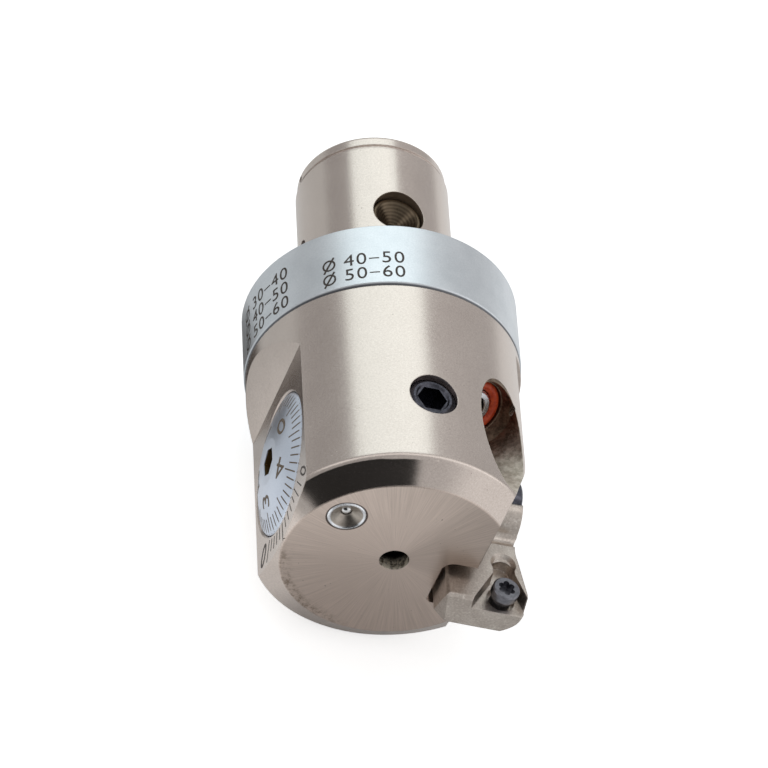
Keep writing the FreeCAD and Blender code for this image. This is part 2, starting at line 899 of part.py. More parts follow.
def bevel_foot(body):
    """Flat bevels on the foot's inner end. Each is a point of it and the way it faces."""
    bevels = (
        ("inner_bevel", Vector(6.05, 1.3, -39.05), Vector(-0.770, 0.185, -0.610)),
        ("front_bevel", Vector(10.0, 0, -39.15), Vector(0, -0.677, -0.735)),
        ("corner_bevel", Vector(6.05, 0.3, -37.0), Vector(-0.707, -0.707, 0)),
    )
    for name, point, way in bevels:
        drill_towards(body, name, point, way, 8.0, 4.0)


def holder_screws():
    """Cap screw of the holder and the low-lobed screw of the insert."""
    body = turned("holder_screw", [
        (0.0, 5.9),
        (1.2, 5.9),
        (1.47, 6.2),
        (1.47, 11.95),
        (2.75, 11.95),
        (2.75, 14.75),
        (2.55, 14.95),
        (0.0, 14.95),
    ], slide_centre, to_plus_x)
    key_socket(body, "cap_socket", 14.95, 2.5, 1.5)
    body = turned("insert_screw", [
        (0.0, -4.2),
        (1.0, -4.2),
        (1.2, -4.0),
        (1.2, -1.3),
        (1.58, -0.5),
        (1.58, 0.35),
        (1.42, 0.5),
        (0.0, 0.5),
    ], insert_screw_place, to_minus_y)
    lobes = 6
    sketch = new_sketch(body, "lobed_socket", "XY_Plane", 0.5)
    corners = []
    for i in range(lobes):
        angle = 2 * math.pi * i / lobes
        half = math.pi / lobes
        middle = angle + half
        start = (0.66 * math.cos(angle), 0.66 * math.sin(angle))
        peak = (1.0 * math.cos(middle), 1.0 * math.sin(middle))
        corners.append((start[0], start[1], peak))
    outline(sketch, corners)
    pocket(body, sketch, 0.9)


# ---------------------------------------------------------------- build and export
def check(part):
    """Stop on any object that failed and on any null or invalid shape."""
    for item in doc.Objects:
        if "Invalid" in item.State or "Error" in item.State:
            raise RuntimeError("%s: %s" % (item.Name, item.State))
    shape = part.Shape
    if shape.isNull() or not shape.isValid():
        raise RuntimeError("%s has no valid shape" % part.Label)


head_body()
marking_ring()
dial()
dial_spindle()
spindle_nut()
thrust_pieces()
dial_ring_centre = slide_centre + Vector(-11.68, 0, 0)
o_ring("dial_o_ring", 7.35, 0.38, dial_ring_centre, to_plus_x)
guide_pin()
oiler()
clamp()
driver_pin()
nozzle()
tool_carrier()
insert_holder()
holder_screws()

doc.recompute()
os.makedirs("parts", exist_ok=True)
for part in sub_parts:
    check(part)
for part in sub_parts:
    part.Shape.exportStep(os.path.join("parts", part.Label + ".step"))
    box = part.Shape.BoundBox
    print("%-16s %9.2f mm3  z %.2f to %.2f" % (part.Label, part.Shape.Volume, box.ZMin, box.ZMax))
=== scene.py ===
"""Looks of the micrometer boring head: metal finishes, engraved scales and the studio."""

import math

import bpy
from mathutils import Matrix, Vector


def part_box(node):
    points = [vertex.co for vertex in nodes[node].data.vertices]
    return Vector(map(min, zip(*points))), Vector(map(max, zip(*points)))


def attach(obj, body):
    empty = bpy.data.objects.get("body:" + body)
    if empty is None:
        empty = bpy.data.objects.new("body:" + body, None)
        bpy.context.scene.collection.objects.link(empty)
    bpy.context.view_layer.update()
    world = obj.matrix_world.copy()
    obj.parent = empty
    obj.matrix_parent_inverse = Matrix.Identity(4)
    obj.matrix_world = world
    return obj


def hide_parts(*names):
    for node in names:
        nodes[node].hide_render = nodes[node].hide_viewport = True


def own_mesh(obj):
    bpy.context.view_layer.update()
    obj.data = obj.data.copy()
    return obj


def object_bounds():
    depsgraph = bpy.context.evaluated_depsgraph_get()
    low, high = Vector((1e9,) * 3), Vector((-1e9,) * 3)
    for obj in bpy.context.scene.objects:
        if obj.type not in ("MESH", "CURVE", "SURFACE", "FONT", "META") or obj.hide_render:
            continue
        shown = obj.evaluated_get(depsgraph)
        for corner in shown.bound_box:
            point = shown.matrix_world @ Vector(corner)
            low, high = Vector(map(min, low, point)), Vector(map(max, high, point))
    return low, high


MM = 0.001

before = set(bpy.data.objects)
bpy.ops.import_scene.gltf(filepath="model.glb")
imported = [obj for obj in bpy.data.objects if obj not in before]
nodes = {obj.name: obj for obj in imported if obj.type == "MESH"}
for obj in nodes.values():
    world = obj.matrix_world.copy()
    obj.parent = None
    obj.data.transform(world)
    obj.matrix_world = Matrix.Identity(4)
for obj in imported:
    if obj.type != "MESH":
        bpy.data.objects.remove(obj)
cad_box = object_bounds()

# ------------------------------------------------------------------ places and sizes
dial_low, dial_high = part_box("dial")
ring_low, ring_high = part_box("marking_ring")
body_low, body_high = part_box("head_body")
oiler_low, oiler_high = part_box("oiler_body")
pin_low, pin_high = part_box("driver_pin")
scoop_low, scoop_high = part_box("nozzle_o_ring")

SLIDE_Z = (dial_low.z + dial_high.z) / 2
DIAL_RADIUS = (dial_high.z - dial_low.z) / 2
RING_RADIUS = (ring_high.x - ring_low.x) / 2
SEAM_Z = ring_low.z
FACE_Z = body_low.z
FACE_RADIUS = 12.6 * MM
BODY_RADIUS = (body_high.y - body_low.y) / 2
BEVEL_RISE = 1.9 * MM
BEVEL_RUN = BODY_RADIUS - FACE_RADIUS
PIN_HOLE = 3.05 * MM
PIN_Z = (pin_low.z + pin_high.z) / 2
OILER = (oiler_low + oiler_high) / 2
OILER_RADIUS = (oiler_high.x - oiler_low.x) / 2

SCOOP_SEAT = (scoop_low + scoop_high) / 2
SCOOP_YAW = math.radians(41.0)
SCOOP_TILT = math.radians(31.8)
SCOOP_WAY = Vector((
    math.sin(SCOOP_TILT) * math.sin(SCOOP_YAW),
    -math.sin(SCOOP_TILT) * math.cos(SCOOP_YAW),
    -math.cos(SCOOP_TILT),
))
SCOOP_RADIUS = 4.0 * MM
NOZZLE_BORE = 1.2 * MM

DIAL_DIVISIONS = 50
DIAL_STEP = math.tau / DIAL_DIVISIONS
DIAL_ZERO = math.radians(26)
VERNIER_STEP = math.radians(6.25)
VERNIER_ZERO = math.radians(-58.0)
MARK_RISE = 0.01 * MM
MARK_THICKNESS = 0.02 * MM
BOARD_GAP = 5 * MM
DIGIT_SHARE = 0.70

FLOOR_SIZE = 3.0
FLOOR_Y = cad_box[1].y
FLOOR_END = 90 * MM
NEAR_FLOOR_Z = -30 * MM
PAPER = (0.93, 0.93, 0.93, 1)
PAPER_GLOW = 0.62
DARK_PATCH = Vector((-22, 0, 3)) * MM
OPENING_WAY = Vector((-0.222, -0.003, -0.975)).normalized()
SOFT_LEVEL = 0.55
LAMP_COLOUR = (0.87, 1.0, 1.0)
WHITE = (1, 1, 1, 1)

VIEW_AZIMUTH = math.radians(20.72)
VIEW_RISE = math.radians(41.28)
VIEW_ROLL = math.radians(-3.57)
VIEW_DISTANCE = 538.9 * MM
VIEW_RIGHT = 0.57 * MM
VIEW_DOWN = 7.56 * MM
VIEW_LENS = 219.05


# ------------------------------------------------------------------ shader maths
class Number:
    """A number that varies over a surface. Python's operators add its Math nodes."""

    def __init__(self, finish, socket):
        self.finish = finish
        self.socket = socket

    def maths(self, operation, *others):
        values = dict(enumerate((self, *others)))
        node = self.finish.add("Math", {"operation": operation}, values)
        return Number(self.finish, node.outputs[0])

    def __add__(self, other):
        return self.maths("ADD", other)

    def __sub__(self, other):
        return self.maths("SUBTRACT", other)

    def __mul__(self, other):
        return self.maths("MULTIPLY", other)

    def __rsub__(self, other):
        return (self * -1.0) + other

    __radd__ = __add__
    __rmul__ = __mul__

    def between(self, low, high):
        """0 at low and under, 1 at high and over, smooth in between."""
        settings = {"interpolation_type": "SMOOTHSTEP"}
        values = {"Value": self, "From Min": low, "From Max": high}
        node = self.finish.add("MapRange", settings, values)
        return Number(self.finish, node.outputs[0])

    def sine(self):
        return self.maths("SINE")

    def root(self):
        return self.maths("SQRT")


class Finish:
    """The node tree of one material, or of the world."""

    def __init__(self, tree):
        self.tree = tree
        self.tree.nodes.clear()

    def add(self, kind, settings=None, values=None):
        node = self.tree.nodes.new("ShaderNode" + kind)
        for name, setting in (settings or {}).items():
            setattr(node, name, setting)
        for name, value in (values or {}).items():
            self.feed(node.inputs[name], value)
        return node

    def feed(self, socket, value):
        if isinstance(value, Number):
            self.tree.links.new(value.socket, socket)
        elif isinstance(value, bpy.types.NodeSocket):
            self.tree.links.new(value, socket)
        else:
            socket.default_value = value

    def number(self, socket):
        return Number(self, socket)

    def place(self):
        """The point on the object as three numbers, in metres."""
        coordinates = self.add("TexCoord").outputs["Object"]
        split = self.add("SeparateXYZ", values={0: coordinates})
        return [self.number(split.outputs[i]) for i in range(3)]

    def noise(self, point, scale, detail, roughness=0.5):
        """Soft random tones, read at a point that is given as three numbers."""
        vector = self.add("CombineXYZ", values=dict(enumerate(point))).outputs[0]
        values = {"Vector": vector, "Scale": scale, "Detail": detail, "Roughness": roughness}
        return self.number(self.add("TexNoise", values=values).outputs[0])

    def mix(self, factor, first, second):
        settings = {"data_type": "RGBA"}
        node = self.add("Mix", settings, {"Factor": factor})
        self.feed(node.inputs[6], first)
        self.feed(node.inputs[7], second)
        return node.outputs[2]


def new_finish(name):
    material = bpy.data.materials.new(name)
    material.use_nodes = True
    return material, Finish(material.node_tree)


def across(first, second):
    """How far a point lies from an axis, from its two distances square to it."""
    return (first * first + second * second).root()


def along(point, way):
    """How far a point, given as three numbers, lies in a direction."""
    return point[0] * way.x + point[1] * way.y + point[2] * way.z


def about(point, middle, way):
    """How far a point lies along a slanted axis, and how far from it."""
    offset = [number - base for number, base in zip(point, middle)]
    depth = along(offset, way)
    square = offset[0] * offset[0] + offset[1] * offset[1] + offset[2] * offset[2]
    return depth, (square - depth * depth).root()


def close(finish, colour, roughness, height, bump, edge, metallic=1.0):
    """Closes a finish with its colour and roughness, a bump of the given depth and an
    edge that catches the light as if rounded to the given radius."""
    rounded = finish.add("Bevel", {"samples": 4}, {"Radius": edge}).outputs[0]
    relief = {"Strength": 1.0, "Distance": bump, "Height": height, "Normal": rounded}
    values = {
        "Base Color": colour,
        "Roughness": roughness,
        "Metallic": metallic,
        "Normal": finish.add("Bump", values=relief).outputs[0],
    }
    shader = finish.add("BsdfPrincipled", values=values)
    finish.add("OutputMaterial", values={"Surface": shader.outputs[0]})


# ------------------------------------------------------------------ finishes
class HeadPlaces:
    """Where a point of the head body lies: its angle and radius about the body's axis,
    how far out of the scoop's seat it is, and places that are 1 inside and 0 outside."""

    def __init__(self, point):
        x, y, z = point
        self.angle = y.maths("ARCTAN2", x)
        self.radius = across(x, y)
        self.face = z.between(FACE_Z + 0.12 * MM, FACE_Z + 0.04 * MM)
        self.off_face = 1.0 - self.face

        cone = (z - FACE_Z) * (BEVEL_RUN / BEVEL_RISE) + FACE_RADIUS - self.radius
        on_cone = 1.0 - cone.maths("ABSOLUTE").between(0.05 * MM, 0.14 * MM)
        bevel_top = FACE_Z + BEVEL_RISE
        below_top = z.between(bevel_top + 0.1 * MM, bevel_top - 0.1 * MM)
        self.bevel = on_cone * self.off_face * below_top

        self.hole = self.radius.between(2.2 * MM, 2.0 * MM) * self.off_face
        # Painted shade: where the central hole's wall goes black deeper in.
        self.deep_hole = self.hole * (z - FACE_Z).between(0.9 * MM, 2.0 * MM)

        from_pin = across(x, z - PIN_Z)
        self.pin_hole = from_pin.between(PIN_HOLE + 0.04 * MM, PIN_HOLE + 0.01 * MM)

        # Painted shade: a thin dark gap on the face round the oil nipple.
        from_oiler = across(x - OILER.x, y - OILER.y)
        rim = from_oiler.between(OILER_RADIUS + 0.20 * MM, OILER_RADIUS + 0.12 * MM)
        self.oiler_rim = rim * self.face

        # Painted shade: a thin dark line on the body just under the marking ring.
        under_ring = z.between(SEAM_Z - 0.16 * MM, SEAM_Z - 0.08 * MM)
        skin = self.radius.between(BODY_RADIUS - 0.5 * MM, BODY_RADIUS - 0.3 * MM)
        self.seam = under_ring * skin

        self.scoop_depth, reach = about(point, SCOOP_SEAT, SCOOP_WAY)
        inside = reach.between(SCOOP_RADIUS + 0.06 * MM, SCOOP_RADIUS + 0.02 * MM)
        self.scoop = inside * z.between(SEAM_Z - 0.5 * MM, SEAM_Z - 1.0 * MM)


def face_tone(finish, place):
    """Painted sheen of the front face: turning streaks of painted reflection that run out
    from its middle, a painted highlight towards one side and painted shade beside the
    insert holder."""
    # Painted reflection streaks, then a painted highlight sector and a painted shade sector.
    streaks = finish.noise((place.angle * 80.0, place.radius * 150.0, 0.0), 1.0, 3.0, 0.6)
    bright = (place.angle + math.radians(210)).sine().between(0.15, 0.85)
    painted_shade_sector = (place.angle + math.radians(115)).sine().between(0.60, 0.95)
    return (streaks - 0.5) * 1.30 + 0.46 + bright * 0.18 - painted_shade_sector * 0.34


def head_nickel():
    """Warm satin nickel on turned steel. The body has a fine grain with a few pits, the
    bevel at its foot is polished, and the front face is streaked and stained at one rim;
    its streaks and its bright and dull sectors are painted sheen. The scoop and the holes
    are left rough and brown, the scoop darker deeper in with painted shade and the middle
    hole black deep down with painted shade. Painted shade makes a dark seam under the
    marking ring and a dark gap round the oil nipple."""
    material, finish = new_finish("head_nickel")
    point = finish.place()
    place = HeadPlaces(point)
    turning = (place.angle * 60.0, point[2] * 7000.0, place.radius * 900.0)
    facing = (place.radius * 7000.0, place.angle * 2.0, 0.0)
    grain = finish.noise(point, 5200.0, 3.0, 0.6)
    mottle = finish.noise(point, 240.0, 4.0, 0.6)
    coarse = finish.noise(point, 1300.0, 4.0, 0.75)
    pits = finish.noise(point, 3600.0, 1.0).between(0.77, 0.81)
    brushed = finish.noise(turning, 1.0, 2.0)
    grooves = finish.noise(facing, 1.0, 3.0)

    satin = grain * 0.50 + mottle * 0.22 + brushed * 0.28
    painted_sheen = face_tone(finish, place)
    tone = satin * place.off_face + painted_sheen * place.face
    body = finish.mix(
        tone.between(0.25, 0.75), (0.52, 0.452, 0.412, 1), (0.66, 0.585, 0.535, 1)
    )
    face = finish.mix(painted_sheen, (0.46, 0.385, 0.34, 1), (0.73, 0.615, 0.545, 1))
    colour = finish.mix(place.face, body, face)

    rim = place.radius.between(10.9 * MM, 12.3 * MM) * place.face
    rim = rim * (place.angle - math.radians(48)).sine().between(0.70, 0.95)
    stain = rim * coarse.between(0.42, 0.66)
    colour = finish.mix(stain * 0.7, colour, (0.17, 0.12, 0.08, 1))
    colour = finish.mix(pits * 0.6, colour, (0.10, 0.08, 0.07, 1))

    # Painted shade: the scoop goes darker and browner deeper in, lighter towards its mouth.
    painted_scoop_shade = finish.mix(
        coarse.between(0.35, 0.65), (0.10, 0.07, 0.05, 1), (0.27, 0.20, 0.145, 1)
    )
    bare = finish.mix(
        coarse.between(0.28, 0.72), (0.40, 0.345, 0.28, 1), (0.74, 0.68, 0.60, 1)
    )
    outwards = (place.scoop_depth + coarse * 3.0 * MM).between(4.0 * MM, 8.5 * MM)
    colour = finish.mix(place.scoop, colour, finish.mix(outwards, painted_scoop_shade, bare))
    hole_wall = finish.mix(
        coarse.between(0.38, 0.60), (0.13, 0.10, 0.07, 1), (0.88, 0.82, 0.72, 1)
    )
    colour = finish.mix(place.hole, colour, hole_wall)
    # Painted shade: black deep in the central hole.
    colour = finish.mix(place.deep_hole, colour, (0.012, 0.010, 0.008, 1))
    # Painted shade: the dark line under the marking ring.
    colour = finish.mix(place.seam * 0.8, colour, (0.05, 0.04, 0.035, 1))
    # Painted shade: the dark gap round the oil nipple.
    colour = finish.mix(place.oiler_rim * 0.85, colour, (0.05, 0.035, 0.03, 1))
    colour = finish.mix(place.pin_hole * 0.8, colour, (0.40, 0.33, 0.26, 1))

    roughness = mottle * 0.06 + grain * 0.06 + 0.19
    roughness = roughness + place.face * 0.06 - place.bevel * 0.14
    roughness = roughness + place.scoop * 0.20 + place.hole * 0.45 + place.pin_hole * 0.20
    height = grain * 0.25 + brushed * 0.10 + coarse * (place.scoop + place.hole) * 5.0
    height = height * place.off_face + grooves * place.face * 0.8
    height = height * (1.0 - place.bevel * 0.9)
    close(finish, colour, roughness, height, bump=0.006 * MM, edge=0.16 * MM)
    return material


def ring_nickel():
    """Cooler than the body, blasted to a very fine even grain, painted shade at its foot."""
    material, finish = new_finish("ring_nickel")
    point = finish.place()
    grain = finish.noise(point, 6000.0, 3.0, 0.6)
    cloud = finish.noise(point, 300.0, 3.0, 0.6)
    tone = (grain * 0.5 + cloud * 0.5).between(0.3, 0.7)
    colour = finish.mix(tone, (0.635, 0.67, 0.705, 1), (0.75, 0.78, 0.815, 1))
    # Painted shade: a dark band along the ring's foot.
    painted_foot_shade = point[2].between(SEAM_Z + 0.24 * MM, SEAM_Z + 0.14 * MM)
    colour = finish.mix(painted_foot_shade * 0.85, colour, (0.06, 0.06, 0.07, 1))
    close(finish, colour, cloud * 0.06 + 0.38, grain, bump=0.003 * MM, edge=0.12 * MM)
    return material


def dial_chrome():
    """Matt chrome, spun in fine circles about the dial's own axis, brown in its key
    hole."""
    material, finish = new_finish("dial_chrome")
    point = finish.place()
    x, y, z = point
    radius = across(y, z - SLIDE_Z)
    behind_front = x.between(dial_low.x + 0.10 * MM, dial_low.x + 0.14 * MM)
    key_hole = radius.between(1.80 * MM, 1.74 * MM) * behind_front
    spun = finish.noise((radius * 9000.0, 0.0, 0.0), 1.0, 3.0)
    grain = finish.noise(point, 5200.0, 3.0, 0.6)
    cloud = finish.noise(point, 400.0, 3.0)
    tone = (spun * 0.2 + cloud * 0.4 + grain * 0.4).between(0.2, 0.8)
    colour = finish.mix(tone, (0.58, 0.63, 0.73, 1), (0.70, 0.755, 0.85, 1))
    colour = finish.mix(key_hole, colour, (0.36, 0.25, 0.12, 1))
    height = spun * 0.4 + grain
    close(finish, colour, cloud * 0.06 + 0.30, height, bump=0.002 * MM, edge=0.12 * MM)
    return material


def holder_nickel():
    """Grainy satin of a milled and blasted holder, with bright specks."""
    material, finish = new_finish("holder_nickel")
    point = finish.place()
    grain = finish.noise(point, 4200.0, 3.0, 0.65)
    cloud = finish.noise(point, 420.0, 3.0)
    flecks = finish.noise(point, 2600.0, 2.0, 0.6).between(0.56, 0.70)
    tone = (grain * 0.6 + cloud * 0.4).between(0.3, 0.7)
    colour = finish.mix(tone, (0.42, 0.365, 0.325, 1), (0.64, 0.58, 0.525, 1))
    colour = finish.mix(flecks * 0.35, colour, (0.82, 0.78, 0.72, 1))
    close(finish, colour, grain * 0.14 + 0.24, grain, bump=0.016 * MM, edge=0.18 * MM)
    return material


def plain_metal(name, dark, light, roughness):
    """A small part's metal: two close tones, a fine grain and a soft edge."""
    material, finish = new_finish(name)
    point = finish.place()
    grain_scale = 3000.0
    grain = finish.noise(point, grain_scale, 3.0)
    cloud = finish.noise(point, grain_scale / 7, 3.0)
    tone = (grain * 0.5 + cloud * 0.5).between(0.3, 0.7)
    colour = finish.mix(tone, (*dark, 1), (*light, 1))
    close(finish, colour, cloud * 0.12 + roughness, grain, bump=0.002 * MM, edge=0.06 * MM)
    return material


def rubber(name, dark, light):
    """Smooth moulded rubber with a faint grain."""
    material, finish = new_finish(name)
    grain = finish.noise(finish.place(), 2500.0, 3.0)
    colour = finish.mix(grain.between(0.3, 0.7), (*dark, 1), (*light, 1))
    roughness = grain * 0.15 + 0.38
    close(finish, colour, roughness, grain, bump=0.003 * MM, edge=0.02 * MM, metallic=0.0)
    return material


def pin_brown():
    """Heat-browned pin steel with turning circles about the pin's own axis."""
    material, finish = new_finish("pin_brown")
    point = finish.place()
    radius = across(point[0], point[2] - PIN_Z)
    circles = (radius * 22000.0).sine() * 0.5 + 0.5
    cloud = finish.noise(point, 900.0, 3.0)
    tone = circles * 0.35 + cloud * 0.65
    colour = finish.mix(tone, (0.030, 0.021, 0.014, 1), (0.19, 0.145, 0.10, 1))
    close(finish, colour, cloud * 0.15 + 0.22, circles, bump=0.006 * MM, edge=0.05 * MM)
    return material


def oiler_steel():
    """Rolled rim with a painted highlight, round a dished cone darker with painted shade."""
    material, finish = new_finish("oiler_steel")
    point = finish.place()
    radius = across(point[0] - OILER.x, point[1] - OILER.y)
    # Painted highlight on the rim; painted shade in the darker dish.
    rim = radius.between(OILER_RADIUS - 0.45 * MM, OILER_RADIUS - 0.30 * MM)
    cloud = finish.noise(point, 1500.0, 3.0, 0.6)
    painted_dish_shade = finish.mix(cloud, (0.22, 0.19, 0.16, 1), (0.56, 0.51, 0.46, 1))
    colour = finish.mix(rim, painted_dish_shade, (0.86, 0.88, 0.92, 1))
    roughness = cloud * 0.10 + 0.26 - rim * 0.10
    close(finish, colour, roughness, cloud, bump=0.01 * MM, edge=0.25 * MM)
    return material


def nozzle_steel():
    """Bright head, black down its socket and bore with painted shade."""
    material, finish = new_finish("nozzle_steel")
    point = finish.place()
    reach = about(point, SCOOP_SEAT, SCOOP_WAY)[1]
    # Painted shade: black down the socket and bore.
    painted_bore_shade = reach.between(NOZZLE_BORE + 0.10 * MM, NOZZLE_BORE)
    grain = finish.noise(point, 3000.0, 3.0)
    tone = grain.between(0.3, 0.7)
    bright = finish.mix(tone, (0.62, 0.63, 0.66, 1), (0.80, 0.81, 0.84, 1))
    colour = finish.mix(painted_bore_shade, bright, (0.02, 0.02, 0.022, 1))
    close(finish, colour, grain * 0.10 + 0.22, grain, bump=0.004 * MM, edge=0.10 * MM)
    return material


def mark_paint(name, dark, light):
    """Dull paint of the etched marks."""
    material, finish = new_finish(name)
    grain = finish.noise(finish.place(), 4000.0, 2.0)
    colour = finish.mix(grain, (*dark, 1), (*light, 1))
    roughness = grain * 0.2 + 0.45
    close(finish, colour, roughness, grain, bump=0.002 * MM, edge=0.01 * MM, metallic=0.3)
    return material


black_steel = plain_metal("black_steel", (0.055, 0.055, 0.068), (0.13, 0.13, 0.155), 0.20)
screw_steel = plain_metal("screw_steel", (0.13, 0.13, 0.145), (0.24, 0.24, 0.265), 0.26)
ground_steel = plain_metal("ground_steel", (0.38, 0.35, 0.32), (0.58, 0.55, 0.52), 0.22)
bright_steel = plain_metal("bright_steel", (0.66, 0.66, 0.66), (0.84, 0.84, 0.86), 0.08)
spindle_gold = plain_metal("spindle_gold", (0.34, 0.25, 0.13), (0.62, 0.50, 0.30), 0.20)
pad_brass = plain_metal("pad_brass", (0.60, 0.42, 0.17), (0.76, 0.58, 0.28), 0.22)
red_rubber = rubber("red_rubber", (0.50, 0.045, 0.012), (0.72, 0.10, 0.03))
black_rubber = rubber("black_rubber", (0.010, 0.010, 0.010), (0.03, 0.03, 0.03))
mark_brown = mark_paint("mark_brown", (0.030, 0.024, 0.020), (0.085, 0.066, 0.055))
mark_tan = mark_paint("mark_tan", (0.10, 0.072, 0.05), (0.20, 0.15, 0.105))

FINISHES = {
    head_nickel(): ["head_body"],
    ring_nickel(): ["marking_ring"],
    dial_chrome(): ["dial"],
    holder_nickel(): ["insert_holder"],
    black_steel: ["clamp_screw", "holder_screw"],
    screw_steel: ["insert_screw", "pin_screw", "spindle_nut"],
    ground_steel: ["tool_carrier", "thrust_plate", "thrust_washer"],
    pin_brown(): ["driver_pin", "guide_pin", "preload_spring", "oiler_spring"],
    oiler_steel(): ["oiler_body"],
    bright_steel: ["oiler_ball"],
    nozzle_steel(): ["coolant_nozzle"],
    spindle_gold: ["dial_spindle"],
    pad_brass: ["clamp_pad"],
    red_rubber: ["nozzle_o_ring"],
    black_rubber: ["dial_o_ring", "carrier_o_ring"],
}


def dress_nodes():
    for material, names in FINISHES.items():
        for name in names:
            mesh = nodes[name].data
            mesh.materials.clear()
            mesh.materials.append(material)


def deselect():
    bpy.ops.object.select_all(action="DESELECT")


def soft_oiler_spring():
    """A merged copy of the oil nipple's spring in place of the spring part. On the real
    nipple the spring shortens as its ball is pressed in.
    """
    deselect()
    rest = nodes["oiler_spring"]
    spring = bpy.data.objects.new("oiler_ball_spring", rest.data.copy())
    bpy.context.collection.objects.link(spring)
    bpy.context.view_layer.objects.active = spring
    spring.select_set(True)
    bpy.ops.object.mode_set(mode="EDIT")
    bpy.ops.mesh.select_all(action="SELECT")
    bpy.ops.mesh.remove_doubles(threshold=0.0001 * MM)
    bpy.ops.object.mode_set(mode="OBJECT")
    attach(spring, "head")
    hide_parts("oiler_spring")
    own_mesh(spring)


# ------------------------------------------------------------------ etched marks
class DialBoard:
    """Drawing plane over the dial and its flat, as seen from outside: right is -Y."""

    def ray(self, right, up):
        start = Vector((dial_low.x - BOARD_GAP, -right, SLIDE_Z + up))
        return start, Vector((1, 0, 0))


class RingBoard:
    """Drawing sheet wrapped round the ring: distances along it are arc lengths."""

    def ray(self, right, up):
        turn = right / RING_RADIUS
        out = Vector((math.sin(turn), -math.cos(turn), 0))
        return out * (RING_RADIUS + BOARD_GAP) + Vector((0, 0, up)), -out


def bar(length, width, right, up, turn):
    """A thin straight mark, centred on a point of the drawing."""
    place = (right, up, MARK_RISE)
    bpy.ops.mesh.primitive_cube_add(size=1, location=place, rotation=(0, 0, turn))
    mark = bpy.context.object
    mark.scale = (length, width, MARK_THICKNESS)
    return mark


def stroke(inner, outer, width, angle):
    """A straight mark that runs out from the centre at the angle."""
    middle = (inner + outer) / 2
    right, up = middle * math.cos(angle), middle * math.sin(angle)
    return bar(outer - inner, width, right, up, angle)


def digit(words, height, right, up, turn, stretch):
    """Plain digits of the given height, centred on a point of the drawing."""
    bpy.ops.object.text_add(rotation=(0, 0, turn))
    text = bpy.context.object
    text.data.body = words
    text.data.align_x = "CENTER"
    text.data.align_y = "CENTER"
    text.data.size = height / DIGIT_SHARE
    text.data.extrude = MARK_THICKNESS / 2
    text.data.resolution_u = 6
    text.scale = (stretch, 1, 1)
    text.location = (right, up, MARK_RISE)
    bpy.ops.object.convert(target="MESH")
    return bpy.context.object


def diameter_sign(height, right, up):
    """A narrow ring with a long slash through it."""
    wide = height * 0.40
    line = 0.23 * MM
    lean = math.radians(60)
    place = (right, up, MARK_RISE)
    bpy.ops.mesh.primitive_torus_add(
        location=place, major_segments=40, minor_segments=4,
        major_radius=wide, minor_radius=line / 2,
    )
    ring = bpy.context.object
    ring.scale = (1, 1.05, 0.1)
    return [ring, bar(height * 1.45, line, right, up, lean)]


def etch(name, marks, board, surface, body, paint):
    """Joins the marks, cuts them fine enough to bend and lays them on the surface."""
    deselect()
    for mark in marks:
        mark.select_set(True)
    bpy.context.view_layer.objects.active = marks[0]
    bpy.ops.object.join()
    piece = bpy.context.object
    bpy.ops.object.transform_apply(location=True, rotation=True, scale=True)
    bpy.ops.object.mode_set(mode="EDIT")
    bpy.ops.mesh.select_all(action="SELECT")
    bpy.ops.mesh.remove_doubles(threshold=0.0005 * MM)
    bpy.ops.mesh.subdivide(number_cuts=2)
    bpy.ops.object.mode_set(mode="OBJECT")
    depth = BOARD_GAP
    for vertex in piece.data.vertices:
        start, way = board.ray(vertex.co.x, vertex.co.y)
        struck, point, _, _ = nodes[surface].ray_cast(start, way)
        if struck:
            depth = (point - start).length
        vertex.co = start + way * (depth - vertex.co.z)
    piece.name = name
    piece.data.name = name
    piece.data.materials.clear()
    piece.data.materials.append(paint)
    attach(piece, body)


def dial_marks():
    """Fifty divisions, a longer one at every fifth, and a number at every tenth."""
    outer = DIAL_RADIUS - 0.1 * MM
    width = 0.16 * MM
    marks = []
    for i in range(DIAL_DIVISIONS):
        inner = (5.75 if i % 5 == 0 else 6.4) * MM
        marks.append(stroke(inner, outer, width, DIAL_ZERO + i * DIAL_STEP))
    height = 2.5 * MM
    reach = 4.5 * MM
    for number in range(5):
        angle = DIAL_ZERO + number * DIAL_STEP * 10
        right, up = reach * math.cos(angle), reach * math.sin(angle)
        marks.append(digit(str(number), height, right, up, angle + math.pi, 1.05))
    etch("dial_marks", marks, DialBoard(), "dial", "spindle", mark_tan)


def vernier_marks():
    """Ten divisions beside the dial with a 0 near each end, and a short pointer."""
    inner = 8.7 * MM
    width = 0.14 * MM
    pointer = VERNIER_ZERO + VERNIER_STEP
    marks = [stroke(9.3 * MM, 11.3 * MM, width, pointer)]
    for i in range(11):
        outer = (11.2 if i % 5 == 0 else 10.15) * MM
        marks.append(stroke(inner, outer, width, VERNIER_ZERO - i * VERNIER_STEP))
    for height, degrees, reach in ((2.2 * MM, -43.5, 10.7), (2.8 * MM, -130.0, 10.2)):
        angle = math.radians(degrees)
        right, up = reach * MM * math.cos(angle), reach * MM * math.sin(angle)
        marks.append(digit("0", height, right, up, angle - math.pi / 2, 0.8))
    etch("vernier_marks", marks, DialBoard(), "head_body", "head", mark_brown)


def number_range(words, middle, up):
    """A diameter sign and a range of sizes, set out evenly along the ring."""
    height = 1.7 * MM
    pitch = 1.43 * MM
    sign_pitches = 3.65
    dash_length = 1.15 * MM
    dash_width = 0.15 * MM
    marks = diameter_sign(height, middle - pitch * sign_pitches, up)
    for i, word in enumerate(words):
        right = middle + (i - (len(words) - 1) / 2) * pitch
        if word == "-":
            marks.append(bar(dash_length, dash_width, right, up, 0.0))
        else:
            marks.append(digit(word, height, right, up, 0.0, 1.05))
    return marks


